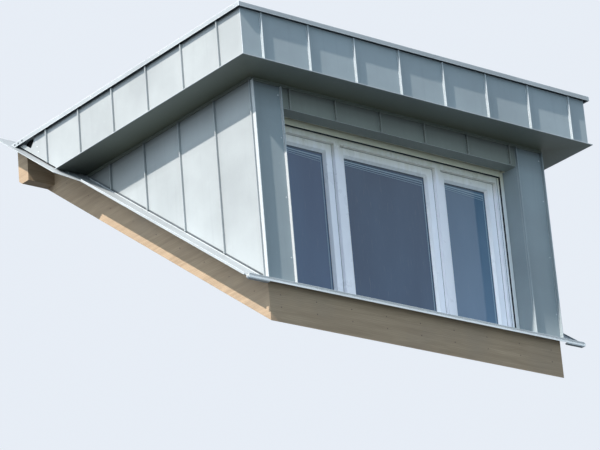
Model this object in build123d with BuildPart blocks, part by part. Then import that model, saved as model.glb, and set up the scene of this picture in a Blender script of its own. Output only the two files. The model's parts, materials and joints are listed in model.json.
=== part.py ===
from build123d import *
import math
import os

# A flat-roofed dormer window, clad in standing-seam sheet metal, in millimetres.
# X runs along the front, Y into the house and Z up. The origin is in the middle of
# the sill beam's underside, which lies on the slope of the main roof's rafters.

# Main sizes
pitch = 37.0
wall_width = 2448.0
wall_height = 1362.0
wall_depth = 240.0
cheek_thickness = 104.0
overhang = 231.0
roof_edge_height = 347.0
curb_rise = 250.0

# Sheet metal and its standing seams
sheet = 3.0
seam_depth = 19.0
seam_thickness = 4.0
seam_fold_width = 7.0
seam_fold_depth = 9.0
seam_bevel = 2.0
seam_clearance = 2.0
seam_end_gap = 22.0
front_seam_pitch = 372.0
side_seam_pitch = 375.0
fascia_seam_start = -7.0
cheek_seam_start = 368.0
corner_seam_depth = 24.0
cheek_corner_seam_depth = 15.0

# Roof edge
coping_face = 30.0
coping_overhang = 30.0
coping_upstand = 58.0
lip_overhang = 20.0
lip_height = 4.0
soffit_board = 12.0
rim_thickness = 40.0
fascia_end_gap = 255.0
fascia_tongue = 38.0
fascia_strip_height = 34.0
head_trim_height = 20.0
head_trim_thickness = 8.0

# Flat roof
roof_recess = 60.0
membrane_thickness = 3.0
deck_thickness = 22.0
panel_depth = 180.0
panel_setback = 22.0
panel_step_gap = 39.0
lining_thickness = 12.5
rear_beam_width = 110.0

# Cheek foot and the flashings on the slope
foot_lift = 32.0
foot_setback = 12.0
foot_lap = 4.0
gutter_lift = 16.0
gutter_width = 170.0
water_stop = 14.0
wing_width = 90.0
wing_lead = 70.0
wing_splay = 90.0
back_flashing_lap = 60.0
back_flashing_reach = 230.0

# Sill
sill_projection = 45.0
sill_fall = 18.0
sill_drip = 12.0
sill_upstand = 22.0
sill_end_inset = 10.0
sill_end_reach = 170.0
sill_end_depth = 25.0
sill_end_gap = 11.0
sill_end_return = 10.0

# Window
post_width = 233.0
lintel_drop = 163.0
lintel_underside = 102.0
frame_recess = 158.0
frame_depth = 70.0
frame_member = 73.0
frame_side_member = 58.0
frame_foot = -6.0
frame_head = 5.0
mullion_width = 48.0
middle_sash_width = 804.0
rebate = 12.0
rebate_clearance = 0.5
sash_setback = 28.0
sash_depth = 75.0
sash_overlap = 8.0
stile = 63.0
stile_bevel = 14.0
glass_setback = 23.0
glass_thickness = 28.0
glass_edge = 12.0
glass_edge_clearance = 3.0
window_board_thickness = 20.0
window_board_reach = 50.0

# Roller shutter, rolled up
rail_width = 25.0
rail_depth = 25.0
rail_gap = 3.0
rail_slot = 14.0
rail_slot_depth = 16.0
slat_thickness = 13.0
slat_height = 60.0
slat_drop = 27.0
slat_end_clearance = 6.0
slat_round = 3.0
shutter_box_wall = 8.0
shutter_slot = 44.0

# Levels and faces worked out from the sizes above
rise = math.tan(math.radians(pitch))
slope_thickness = sheet / math.cos(math.radians(pitch))
half_fold = seam_fold_width / 2
front_face = -wall_depth / 2
core_face = front_face + sheet
back_face = wall_depth / 2
half_wall = wall_width / 2
core_x = half_wall - sheet
room_x = core_x - cheek_thickness
curb_x = core_x - foot_setback
panel_x = core_x - panel_setback
opening_x = half_wall - post_width
reveal_x = opening_x + sheet
fascia_x = half_wall + overhang
fascia_y = front_face - overhang
rim_x = fascia_x - sheet
rim_y = fascia_y + sheet
deck_x = rim_x - rim_thickness
deck_y = rim_y + rim_thickness
coping_x = fascia_x + coping_overhang
coping_y = fascia_y - coping_overhang
coping_width = coping_x - deck_x + 2 * sheet
lip_x = fascia_x + lip_overhang
lip_y = fascia_y - lip_overhang

sill_line = curb_rise + rise * front_face
soffit_z = sill_line + wall_height
soffit_under = soffit_z - lip_height
rim_foot = soffit_z + soffit_board
coping_top = soffit_z + roof_edge_height
rim_top = coping_top - sheet
fascia_top = coping_top - coping_face + sheet
fascia_seam_top = coping_top - coping_face - seam_clearance
roof_top = coping_top - roof_recess
deck_top = roof_top - membrane_thickness
panel_top = deck_top - deck_thickness
wall_top = panel_top - panel_depth
lintel_z = soffit_z - lintel_drop
trim_foot = soffit_under - head_trim_height

foot_rise = curb_rise + foot_lift
cladding_rise = foot_rise - foot_lap
gutter_rise = curb_rise + gutter_lift
gutter_under = gutter_rise - slope_thickness
gutter_x = half_wall + gutter_width
wing_x = fascia_x + wing_width
roof_end = (roof_top - gutter_under) / rise
rear_end = roof_end + rear_beam_width
fascia_end = rear_end - fascia_end_gap
flashing_end = roof_end + back_flashing_reach
panel_step = (wall_top - gutter_rise) / rise - panel_step_gap
wing_start = (soffit_z - foot_rise) / rise - wing_lead

frame_face = front_face + frame_recess
frame_back = frame_face + frame_depth
frame_z = sill_line + frame_foot
frame_top = lintel_z + frame_head
light_z = frame_z + frame_member
light_top = frame_top - frame_member
middle_x = middle_sash_width / 2
side_light_x = middle_x + mullion_width
light_end_x = opening_x - frame_side_member
sash_face = frame_face + sash_setback
sash_back = sash_face + sash_depth
glass_face = sash_face + glass_setback
glass_back = glass_face + glass_thickness

sill_y = front_face - sill_projection
sill_end_x = half_wall + sill_end_reach
rail_x = opening_x - rail_gap
rail_inner_x = rail_x - rail_width
rail_face = frame_face - rail_depth
slat_x = rail_inner_x + rail_slot_depth - slat_end_clearance


def on_slope(y, height):
    """Level of a point at y on the plane that lies the given height above the underside."""
    return rise * y + height


def slope_y(z, height):
    """Where the plane that lies the given height above the underside reaches level z."""
    return (z - height) / rise


def on_sill(y):
    """Level of the sill's upper face, which falls from the window to the outer edge."""
    return sill_line + sill_drip + sill_fall * (y - sill_y) / (frame_face - sill_y)


def slope_plane(height):
    """Sketch plane on the slope: its X runs along the front and its Y up the slope."""
    angle = math.radians(pitch)
    normal = (0, -math.sin(angle), math.cos(angle))
    return Plane(origin=(0, 0, height), x_dir=(1, 0, 0), z_dir=normal)


def up_slope(y):
    """Distance along the slope that reaches y."""
    return y / math.cos(math.radians(pitch))


def front_plane(y, z):
    """Level sketch plane with its Y pointing out of the front."""
    return Plane(origin=(0, y, z), x_dir=(-1, 0, 0), z_dir=(0, 0, 1))


def left_plane(x, z):
    """Level sketch plane with its X running into the house and its Y out of the left side."""
    return Plane(origin=(-x, 0, z), x_dir=(0, 1, 0), z_dir=(0, 0, 1))


def box(low, high, mode=Mode.ADD):
    """A block between two corners, added to the part that is being built."""
    size = [high[i] - low[i] for i in range(3)]
    centre = tuple((high[i] + low[i]) / 2 for i in range(3))
    with Locations(centre):
        Box(size[0], size[1], size[2], mode=mode)


def outline(plane, points):
    """A closed sketch with straight edges."""
    with BuildSketch(plane) as drawn:
        with BuildLine():
            Polyline(*points, close=True)
        make_face()
    return drawn


def across(points, x_low, x_high, mode=Mode.ADD):
    """A prism with its outline in the YZ plane, from x_low to x_high."""
    drawn = outline(Plane.YZ.offset(x_low), points)
    extrude(drawn.sketch, amount=x_high - x_low, mode=mode)


def along(points, y_low, y_high, mode=Mode.ADD):
    """A prism with its outline in the XZ plane, from y_low to y_high."""
    drawn = outline(Plane.XZ.offset(-y_high), points)
    extrude(drawn.sketch, amount=y_high - y_low, mode=mode)


def upright(points, z_low, z_high, mode=Mode.ADD):
    """A prism with its outline in the XY plane, from z_low to z_high."""
    drawn = outline(Plane.XY.offset(z_low), points)
    extrude(drawn.sketch, amount=z_high - z_low, mode=mode)


def below_slope(height, x_low, x_high, y_low, y_high, mode=Mode.SUBTRACT):
    """The wedge under a plane on the slope, between two values of y."""
    low = on_slope(y_low, height)
    high = on_slope(y_high, height)
    across([(y_low, low), (y_high, high), (y_high, low)], x_low, x_high, mode=mode)


def seam(plane, position, top, depth=seam_depth):
    """A standing seam from its plane up to a level: a thin stem with a thicker fold at its edge."""
    stem = seam_thickness / 2
    fold = seam_fold_width / 2
    shoulder = depth - seam_fold_depth
    points = [
        (position - stem, 0),
        (position + stem, 0),
        (position + stem, shoulder),
        (position + fold, shoulder),
        (position + fold, depth - seam_bevel),
        (position + fold - seam_bevel, depth),
        (position - fold + seam_bevel, depth),
        (position - fold, depth - seam_bevel),
        (position - fold, shoulder),
        (position - stem, shoulder),
    ]
    drawn = outline(plane, points)
    extrude(drawn.sketch, amount=top - plane.origin.Z)


def front_seams(half_width):
    """Places of the seams on a sheet at the front, evenly on both sides of the middle."""
    pairs = int((half_width - seam_end_gap) / front_seam_pitch + 0.5)
    return [(i + 0.5) * front_seam_pitch for i in range(-pairs, pairs)]


def side_seams(first, last):
    """Places of the seams on a sheet at the side, from the front to the rear."""
    count = int((last - first) / side_seam_pitch) + 1
    return [first + i * side_seam_pitch for i in range(count)]


def frame_sketch(y, x_low, x_high, z_low, z_high):
    """An upright rectangle that faces the front."""
    with BuildSketch(Plane.XZ.offset(-y)) as drawn:
        with Locations(((x_low + x_high) / 2, (z_low + z_high) / 2)):
            Rectangle(x_high - x_low, z_high - z_low)
    return drawn


def mirrored(builder):
    """The same piece on the other side of the dormer."""
    with BuildPart() as twin:
        mirror(builder.part, about=Plane.YZ)
    return twin


def save(builder, name):
    """Label a finished piece and write its file."""
    builder.part.label = name
    export_step(builder.part, "parts/" + name + ".step")


def save_pair(builder, name):
    """Write a left piece and its mirrored twin."""
    save(builder, "left_" + name)
    save(mirrored(builder), "right_" + name)


os.makedirs("parts", exist_ok=True)

# Curb

with BuildPart() as sill_beam:
    across(
        [
            (core_face, on_slope(core_face, 0)),
            (back_face, on_slope(back_face, 0)),
            (back_face, frame_z),
            (core_face, frame_z),
        ],
        -curb_x,
        curb_x,
    )
    across(
        [
            (core_face, frame_z),
            (frame_face, frame_z),
            (frame_face, on_sill(frame_face) - sheet),
            (core_face, on_sill(core_face) - sheet),
        ],
        -opening_x,
        opening_x,
    )
save(sill_beam, "sill_beam")

with BuildPart() as trimmer:
    across(
        [
            (back_face, on_slope(back_face, 0)),
            (slope_y(wall_top, 0), wall_top),
            (slope_y(wall_top, foot_rise), wall_top),
            (back_face, on_slope(back_face, foot_rise)),
        ],
        -curb_x,
        -room_x,
    )
save_pair(trimmer, "trimmer")

with BuildPart() as rear_beam:
    across(
        [
            (roof_end, wall_top),
            (slope_y(wall_top, 0), wall_top),
            (rear_end, on_slope(rear_end, 0)),
            (rear_end, on_slope(rear_end, gutter_under)),
            (roof_end, roof_top),
        ],
        -deck_x,
        deck_x,
    )
save(rear_beam, "rear_beam")

# Walls

with BuildPart() as cheek_wall:
    across(
        [
            (back_face, on_slope(back_face, foot_rise)),
            (slope_y(wall_top, foot_rise), wall_top),
            (back_face, wall_top),
        ],
        -core_x,
        -room_x,
    )
save_pair(cheek_wall, "cheek_wall")

with BuildPart() as front_post:
    box((-core_x, core_face, frame_z), (-reveal_x, back_face, wall_top))
    across(
        [
            (front_face, frame_z - sheet),
            (back_face, frame_z - sheet),
            (back_face, on_slope(back_face, foot_rise)),
            (front_face, on_slope(front_face, foot_rise)),
        ],
        -core_x,
        -curb_x,
        mode=Mode.SUBTRACT,
    )
save_pair(front_post, "front_post")

with BuildPart() as lintel_beam:
    lintel_back = front_face + lintel_underside
    box((-reveal_x, core_face, lintel_z + sheet), (reveal_x, lintel_back, wall_top))
save(lintel_beam, "lintel_beam")

# Flat roof

with BuildPart() as roof_panel:
    box((-deck_x, deck_y, wall_top), (deck_x, panel_step, panel_top))
    box((-panel_x, panel_step, wall_top), (panel_x, roof_end, panel_top))
save(roof_panel, "roof_panel")

with BuildPart() as roof_rim:
    box((-rim_x, rim_y, rim_foot), (rim_x, deck_y, rim_top))
    rim_outline = [
        (deck_y, rim_foot),
        (slope_y(rim_foot, foot_rise), rim_foot),
        (fascia_end, on_slope(fascia_end, foot_rise)),
        (fascia_end, rim_top),
        (deck_y, rim_top),
    ]
    across(rim_outline, -rim_x, -deck_x)
    across(rim_outline, deck_x, rim_x)
save(roof_rim, "roof_rim")

with BuildPart() as roof_deck:
    box((-deck_x, deck_y, panel_top), (deck_x, roof_end, deck_top))
save(roof_deck, "roof_deck")

with BuildPart() as roof_membrane:
    box((-deck_x, deck_y, deck_top), (deck_x, roof_end, roof_top))
save(roof_membrane, "roof_membrane")

with BuildPart() as room_lining:
    ceiling_z = wall_top - lining_thickness
    lining_outline = [
        (back_face, on_slope(back_face, 0)),
        (slope_y(wall_top, 0), wall_top),
        (back_face, wall_top),
    ]
    across(lining_outline, -room_x, room_x)
    room_outline = [
        (back_face - sheet, on_slope(back_face - sheet, -sheet)),
        (slope_y(ceiling_z, -sheet), ceiling_z),
        (back_face - sheet, ceiling_z),
    ]
    room_half = room_x - lining_thickness
    across(room_outline, -room_half, room_half, mode=Mode.SUBTRACT)
save(room_lining, "room_lining")

# Roof edge: the fascia with its seams

with BuildPart() as front_fascia:
    box((-fascia_x, fascia_y, soffit_z), (fascia_x, rim_y, fascia_top))
    for x in front_seams(fascia_x):
        seam(front_plane(fascia_y, soffit_z), x, fascia_seam_top)
save(front_fascia, "front_fascia")

with BuildPart() as side_fascia:
    strip_end = slope_y(fascia_top, foot_rise)
    tongue_end = fascia_end + fascia_tongue
    strip_rise = foot_rise + fascia_strip_height
    across(
        [
            (rim_y, soffit_z),
            (slope_y(soffit_z, foot_rise), soffit_z),
            (strip_end, fascia_top),
            (slope_y(fascia_top, strip_rise), fascia_top),
            (tongue_end, on_slope(tongue_end, strip_rise)),
            (fascia_end, on_slope(tongue_end, strip_rise) + fascia_tongue),
            (fascia_end, fascia_top),
            (rim_y, fascia_top),
        ],
        -fascia_x,
        -rim_x,
    )
    for y in side_seams(front_face + fascia_seam_start, fascia_end - seam_end_gap):
        seam_foot = max(soffit_z, on_slope(y + half_fold, foot_rise))
        seam(left_plane(fascia_x, seam_foot), y, fascia_seam_top)
save_pair(side_fascia, "fascia")


# Roof edge: a coping that caps the rim and stands clear of the fascia


def coping_section(edge):
    """Section of the coping from its outer edge inwards, with a drip on both sides."""
    inner = edge + coping_width
    return [
        (edge, coping_top - coping_face),
        (edge + sheet, coping_top - coping_face),
        (edge + sheet, rim_top),
        (inner - sheet, rim_top),
        (inner - sheet, coping_top - coping_upstand),
        (inner, coping_top - coping_upstand),
        (inner, coping_top),
        (edge, coping_top),
    ]


def cut_mitre(side, along_front):
    """Cut a coping at the corner where the front one meets a side one."""
    corner_x = side * coping_x
    inner_x = side * (coping_x - coping_width)
    inner_y = coping_y + coping_width
    third = (corner_x, inner_y) if along_front else (inner_x, coping_y)
    points = [(corner_x, coping_y), (inner_x, inner_y), third]
    upright(points, coping_top - coping_upstand, coping_top, mode=Mode.SUBTRACT)


with BuildPart() as front_coping:
    across(coping_section(coping_y), -coping_x, coping_x)
    cut_mitre(-1, True)
    cut_mitre(1, True)
save(front_coping, "front_coping")

with BuildPart() as side_coping:
    coping_end = slope_y(coping_top, gutter_rise)
    coping_low = slope_y(coping_top - coping_upstand, gutter_rise)
    along(coping_section(-coping_x), coping_y, coping_end)
    cut_mitre(-1, False)
    below_slope(gutter_rise, -coping_x, -deck_x + 2 * sheet, coping_low, coping_end)
save_pair(side_coping, "coping")

# Roof edge: soffit with a drip lip, and the trim at the head of the walls

with BuildPart() as soffit:
    box((-lip_x, lip_y, soffit_under), (lip_x, core_face, soffit_z))
    box((-rim_x, rim_y, soffit_z), (rim_x, core_face, rim_foot))
    for side in (-1, 1):
        lip_edges = sorted((side * lip_x, side * core_x))
        across(
            [
                (core_face, soffit_under),
                (slope_y(soffit_under, foot_rise), soffit_under),
                (slope_y(soffit_z, foot_rise), soffit_z),
                (core_face, soffit_z),
            ],
            lip_edges[0],
            lip_edges[1],
        )
        board_edges = sorted((side * rim_x, side * core_x))
        across(
            [
                (core_face, soffit_z),
                (slope_y(soffit_z, foot_rise), soffit_z),
                (slope_y(rim_foot, foot_rise), rim_foot),
                (core_face, rim_foot),
            ],
            board_edges[0],
            board_edges[1],
        )
save(soffit, "soffit")

with BuildPart() as head_trim:
    trim_x = half_wall + head_trim_thickness
    trim_y = front_face - head_trim_thickness
    box((-trim_x, trim_y, trim_foot), (trim_x, front_face, soffit_under))
    trim_outline = [
        (front_face, trim_foot),
        (slope_y(trim_foot, foot_rise), trim_foot),
        (slope_y(soffit_under, foot_rise), soffit_under),
        (front_face, soffit_under),
    ]
    across(trim_outline, -trim_x, -half_wall)
    across(trim_outline, half_wall, trim_x)
save(head_trim, "head_trim")

# Cladding of the walls

with BuildPart() as cheek_cladding:
    across(
        [
            (core_face, on_slope(core_face, cladding_rise)),
            (slope_y(soffit_under, cladding_rise), soffit_under),
            (core_face, soffit_under),
        ],
        -half_wall,
        -core_x,
    )
    corner_y = core_face + seam_thickness / 2
    corner_foot = on_slope(corner_y + half_fold, cladding_rise)
    seam(left_plane(half_wall, corner_foot), corner_y, trim_foot, cheek_corner_seam_depth)
    last_seam = slope_y(trim_foot, cladding_rise) - seam_end_gap
    for y in side_seams(front_face + cheek_seam_start, last_seam):
        seam_foot = on_slope(y + half_fold, cladding_rise)
        seam(left_plane(half_wall, seam_foot), y, trim_foot)
save_pair(cheek_cladding, "cheek_cladding")

with BuildPart() as post_cladding:
    cladding_foot = on_sill(core_face)
    box((-half_wall, front_face, cladding_foot), (-opening_x, core_face, soffit_under))
    box((-reveal_x, core_face, frame_z), (-opening_x, frame_face, lintel_z + sheet))
    box((-reveal_x, lintel_back, lintel_z), (-opening_x, frame_face, frame_top))
    post_plane = front_plane(front_face, cladding_foot)
    seam(post_plane, half_wall - half_fold, trim_foot, corner_seam_depth)
    seam(post_plane, opening_x + half_fold, trim_foot)
save_pair(post_cladding, "post_cladding")

with BuildPart() as lintel_cladding:
    box((-opening_x, front_face, lintel_z), (opening_x, core_face, soffit_under))
    box((-opening_x, core_face, lintel_z), (opening_x, lintel_back, lintel_z + sheet))
    for x in front_seams(opening_x):
        seam(front_plane(front_face, lintel_z), x, trim_foot)
save(lintel_cladding, "lintel_cladding")

# Sill flashing, with a rolled-over end beyond each corner

with BuildPart() as sill_flashing:
    end_top = sill_line + sill_drip
    end_low = sill_line - sill_end_gap - sill_end_return
    end_radius = (end_top - end_low) / 2
    edge_x = sill_end_x - end_radius
    across(
        [
            (sill_y, sill_line),
            (sill_y + sheet, sill_line),
            (sill_y + sheet, on_sill(sill_y) - sheet),
            (core_face, on_sill(core_face) - sheet),
            (core_face, on_sill(core_face)),
            (sill_y, on_sill(sill_y)),
        ],
        -edge_x,
        edge_x,
    )
    across(
        [
            (core_face, on_sill(core_face) - sheet),
            (frame_face, on_sill(frame_face) - sheet),
            (frame_face, on_sill(frame_face)),
            (core_face, on_sill(core_face)),
        ],
        -opening_x,
        opening_x,
    )
    upstand_x = rail_inner_x - seam_clearance
    box(
        (-upstand_x, frame_face - sheet, on_sill(frame_face) - sheet),
        (upstand_x, frame_face, on_sill(frame_face) + sill_upstand),
    )
    for side in (-1, 1):
        start_x = half_wall + sill_end_inset
        with BuildSketch(Plane.XZ.offset(-(sill_y + sill_end_depth))):
            for radius, mode in ((end_radius, Mode.ADD), (sill_end_gap / 2, Mode.SUBTRACT)):
                if mode == Mode.ADD:
                    middle_z = end_top - radius
                else:
                    middle_z = sill_line - radius
                with Locations((side * edge_x, middle_z)):
                    Circle(radius, mode=mode)
                with Locations((side * (start_x + edge_x) / 2, middle_z)):
                    Rectangle(edge_x - start_x, 2 * radius, mode=mode)
        extrude(amount=sill_end_depth)
save(sill_flashing, "sill_flashing")

# Flashings on the slope beside and behind the dormer

with BuildPart() as side_gutter:
    notch_y = slope_y(panel_top, gutter_rise)
    corners = [
        (-curb_x, core_face),
        (-gutter_x, core_face),
        (-gutter_x, wing_start - wing_splay),
        (-wing_x, wing_start),
        (-wing_x, flashing_end),
        (-deck_x, flashing_end),
        (-deck_x, notch_y),
        (-curb_x, notch_y),
    ]
    drawn = outline(slope_plane(gutter_rise), [(x, up_slope(y)) for x, y in corners])
    extrude(drawn.sketch, amount=-sheet)
    upstand_end = slope_y(wall_top, foot_rise)
    across(
        [
            (core_face, on_slope(core_face, gutter_rise)),
            (upstand_end, on_slope(upstand_end, gutter_rise)),
            (upstand_end, wall_top),
            (core_face, on_slope(core_face, foot_rise)),
        ],
        -curb_x - sheet,
        -curb_x,
    )
    stop_end = wing_start - wing_splay
    across(
        [
            (core_face, on_slope(core_face, gutter_rise)),
            (stop_end, on_slope(stop_end, gutter_rise)),
            (stop_end, on_slope(stop_end, gutter_rise + water_stop)),
            (core_face, on_slope(core_face, gutter_rise + water_stop)),
        ],
        -gutter_x,
        -gutter_x + sheet,
    )
save_pair(side_gutter, "side_gutter")

with BuildPart() as back_flashing:
    lap_x = deck_x - 2 * sheet
    box((-lap_x, roof_end - back_flashing_lap, roof_top), (lap_x, roof_end, roof_top + sheet))
    across(
        [
            (roof_end, roof_top),
            (flashing_end, on_slope(flashing_end, gutter_under)),
            (flashing_end, on_slope(flashing_end, gutter_rise)),
            (roof_end, on_slope(roof_end, gutter_rise)),
        ],
        -deck_x,
        deck_x,
    )
save(back_flashing, "back_flashing")

# Window frame: two mullions part it into three lights

light_edges = [
    (-light_end_x, -side_light_x),
    (-middle_x, middle_x),
    (side_light_x, light_end_x),
]

with BuildPart() as window_frame:
    box((-reveal_x, frame_face, frame_z), (reveal_x, frame_back, frame_top))
    for low_x, high_x in light_edges:
        box(
            (low_x, frame_face, light_z),
            (high_x, frame_back, light_top),
            mode=Mode.SUBTRACT,
        )
        box(
            (low_x - rebate, sash_face, light_z - rebate),
            (high_x + rebate, frame_back, light_top + rebate),
            mode=Mode.SUBTRACT,
        )
save(window_frame, "window_frame")


# Sashes and their glass


def build_sash(low_x, high_x):
    """One sash with a bevel round its glass and a groove that holds it."""
    reach = rebate - rebate_clearance
    inner_x = (low_x + stile, high_x - stile)
    inner_z = (light_z + stile, light_top - stile)
    with BuildPart() as sash:
        box(
            (low_x - reach, sash_face, light_z - reach),
            (high_x + reach, frame_back, light_top + reach),
        )
        flange = reach + sash_overlap
        box(
            (low_x - flange, frame_back, light_z - flange),
            (high_x + flange, sash_back, light_top + flange),
        )
        box(
            (inner_x[0], sash_face, inner_z[0]),
            (inner_x[1], sash_back, inner_z[1]),
            mode=Mode.SUBTRACT,
        )
        box(
            (inner_x[0] - glass_edge, glass_face, inner_z[0] - glass_edge),
            (inner_x[1] + glass_edge, glass_back, inner_z[1] + glass_edge),
            mode=Mode.SUBTRACT,
        )
        wide = frame_sketch(
            sash_face,
            inner_x[0] - stile_bevel,
            inner_x[1] + stile_bevel,
            inner_z[0] - stile_bevel,
            inner_z[1] + stile_bevel,
        )
        narrow = frame_sketch(glass_face, inner_x[0], inner_x[1], inner_z[0], inner_z[1])
        loft([wide.sketch, narrow.sketch], mode=Mode.SUBTRACT)
    return sash


def build_glass(low_x, high_x):
    """The sealed glass unit of one sash."""
    edge = glass_edge - glass_edge_clearance - stile
    with BuildPart() as glass:
        box(
            (low_x - edge, glass_face, light_z - edge),
            (high_x + edge, glass_back, light_top + edge),
        )
    return glass


for place, edges in zip(("left", "middle", "right"), light_edges):
    save(build_sash(edges[0], edges[1]), place + "_sash")
    save(build_glass(edges[0], edges[1]), place + "_glass")

with BuildPart() as window_board:
    board_back = frame_back + window_board_reach
    box(
        (-reveal_x, frame_back, frame_z),
        (reveal_x, board_back, frame_z + window_board_thickness),
    )
save(window_board, "window_board")

# Roller shutter: guide rails, the end slat and the box that holds the roll

with BuildPart() as guide_rail:
    slot_y = rail_face + (rail_depth - rail_slot) / 2
    box((-rail_x, rail_face, sill_line), (-rail_inner_x, frame_face, frame_top))
    box(
        (-rail_inner_x - rail_slot_depth, slot_y, sill_line),
        (-rail_inner_x, slot_y + rail_slot, frame_top),
        mode=Mode.SUBTRACT,
    )
    across(
        [
            (rail_face, sill_line - sheet),
            (frame_face, sill_line - sheet),
            (frame_face, on_sill(frame_face)),
            (rail_face, on_sill(rail_face)),
        ],
        -rail_x,
        -rail_inner_x,
        mode=Mode.SUBTRACT,
    )
save_pair(guide_rail, "guide_rail")

with BuildPart() as shutter_slat:
    slat_y = slot_y + (rail_slot - slat_thickness) / 2
    slat_z = lintel_z - slat_drop
    box((-slat_x, slat_y, slat_z), (slat_x, slat_y + slat_thickness, slat_z + slat_height))
    fillet(shutter_slat.edges().filter_by(Axis.X), slat_round)
save(shutter_slat, "shutter_slat")

with BuildPart() as shutter_box:
    wall = shutter_box_wall
    box((-reveal_x, lintel_back, frame_top), (reveal_x, back_face, wall_top))
    box(
        (-reveal_x + wall, lintel_back + wall, frame_top + wall),
        (reveal_x - wall, back_face - wall, wall_top - wall),
        mode=Mode.SUBTRACT,
    )
    slot_x = rail_inner_x + rail_slot_depth
    box(
        (-slot_x, frame_face - shutter_slot, frame_top),
        (slot_x, frame_face, frame_top + wall),
        mode=Mode.SUBTRACT,
    )
save(shutter_box, "shutter_box")
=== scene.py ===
import json
import math

import bpy
from mathutils import Matrix, Vector


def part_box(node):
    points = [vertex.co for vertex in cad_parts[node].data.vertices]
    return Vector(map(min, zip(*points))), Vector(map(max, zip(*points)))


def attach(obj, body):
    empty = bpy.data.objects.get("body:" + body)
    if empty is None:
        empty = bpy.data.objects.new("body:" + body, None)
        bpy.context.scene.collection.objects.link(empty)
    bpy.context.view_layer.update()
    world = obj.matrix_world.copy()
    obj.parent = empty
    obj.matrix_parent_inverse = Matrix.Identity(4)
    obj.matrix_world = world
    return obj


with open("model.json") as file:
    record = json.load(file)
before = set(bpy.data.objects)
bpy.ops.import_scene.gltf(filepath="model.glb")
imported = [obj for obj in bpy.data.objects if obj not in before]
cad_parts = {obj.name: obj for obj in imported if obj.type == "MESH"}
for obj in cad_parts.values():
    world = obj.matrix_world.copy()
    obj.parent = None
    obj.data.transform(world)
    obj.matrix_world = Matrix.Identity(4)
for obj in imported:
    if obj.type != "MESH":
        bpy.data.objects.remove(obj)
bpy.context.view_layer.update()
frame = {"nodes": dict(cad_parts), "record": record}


def lowest(node, axis):
    """The lowest x, y or z of a CAD piece."""
    return getattr(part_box(node)[0], axis)


def highest(node, axis):
    """The highest x, y or z of a CAD piece."""
    return getattr(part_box(node)[1], axis)


# Sizes and places that the small pieces line up with, in metres: the walls and the roof
RISE = math.tan(math.radians(37.0))
SHEET_METAL = 0.003
SILL_BEAM = lowest("sill_beam", "y")
FRONT = SILL_BEAM - SHEET_METAL
WALL = highest("right_post_cladding", "x")
TRIMMER = highest("right_trimmer", "x")
CHEEK_RISE = 0.268
CEILING = 1.5911
EAVES = 1.500
ROOF_TOP = highest("roof_membrane", "z")
ROOF_SIDE = highest("roof_membrane", "x")
ROOF_FRONT = lowest("roof_membrane", "y")

# The roof edge, from the head trim up to the coping
TRIM_FOOT = lowest("head_trim", "z")
TRIM_SIDE = highest("head_trim", "x")
TRIM_FRONT = lowest("head_trim", "y")
TRIM_BACK = 1.61
SOFFIT_UNDER = lowest("soffit", "z")
LIP = highest("soffit", "x")
LIP_FRONT = lowest("soffit", "y")
LIP_BACK = 1.66
FASCIA = highest("front_fascia", "x")
RIM_SIDE = highest("roof_rim", "x")
RIM_FRONT = lowest("roof_rim", "y")
COPING = highest("front_coping", "x")
COPING_TOP = highest("front_coping", "z")
COPING_FRONT = lowest("front_coping", "y")
COPING_BACK = highest("front_coping", "y")
COPING_INSIDE = lowest("right_coping", "x")
COPING_JOINTS = (0.45, 1.20)
RIVET_ROW = 1.8535
CLEAT_FOOT = 1.8420
CLEAT_TOP = 1.8650

# The window, its sill and the guide rails of the roller shutter
SILL_END = 1.392
SILL_FACE = lowest("sill_flashing", "y")
SILL_EDGE = 0.1562
LINTEL = lowest("lintel_cladding", "z")
OPENING = highest("lintel_cladding", "x")
FRAME_FACE = lowest("window_frame", "y")
SASH_FACE = lowest("middle_sash", "y")
GLASS_FACE = lowest("middle_glass", "y")
SASH_LAP = 0.0195
LIGHTS = [
    (lowest(name, "x") + SASH_LAP, highest(name, "x") - SASH_LAP)
    for name in ("left_sash", "middle_sash", "right_sash")
]
LIGHT_LOW = lowest("middle_sash", "z") + SASH_LAP
LIGHT_HIGH = highest("middle_sash", "z") - SASH_LAP
STILE = 0.063
RAIL_FOOT = 0.195
RAIL_TOP = 1.330
RAIL_INSIDE = lowest("right_guide_rail", "x")
RAIL_MIDDLE = (RAIL_INSIDE + highest("right_guide_rail", "x")) / 2
RAIL_FACE = lowest("right_guide_rail", "y")
FRAME_JOINT = 0.9489

# Small profiles: rubber seals, and the thin stripes laid on the glass
SEAL_WIDTH = 0.0022
SEAL_DEPTH = 0.002
STRIPE = 0.0006

# Sheet metal pans: their widths at the front and on the cheeks, and the y of the cheeks' first seam
FRONT_PAN = 0.372
SIDE_PAN = 0.375
FIRST_SIDE_SEAM = 0.248

# The floor lies just under the object's lowest point
FLOOR = -0.0885
FLOOR_REACH = 160.0

# Colours of the sheet metal, its shaded side, the blackening at the lintel's head (partly painted
# shade), the painted shade under the eaves, and the background
ZINC = (0.318, 0.352, 0.374)
SHADED = (0.268, 0.318, 0.342)
SOOT_AND_SHADE = (0.12, 0.125, 0.115)
EAVES_SHADE = (0.020, 0.023, 0.019)
PALE = (0.80, 0.85, 0.92)

# The camera's place, its right-hand direction and its line of sight, fitted to the photograph
CAMERA_PLACE = (-12.314, -13.531, -6.4164)
CAMERA_RIGHT = (0.7797, -0.6212, -0.0788)
CAMERA_AWAY = (0.6016, 0.7082, 0.3696)
CAMERA_LENS = 184.84

# The colour sockets of a Mix node, which share their names with its other sockets
COLOUR_A = 6
COLOUR_B = 7
COLOUR_OUT = 2

# Faces of a block whose corners run round its underside and then round its top
BLOCK = ((0, 3, 2, 1), (4, 5, 6, 7), (0, 1, 5, 4), (1, 2, 6, 5), (2, 3, 7, 6), (3, 0, 4, 7))


# Node helpers


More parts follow.
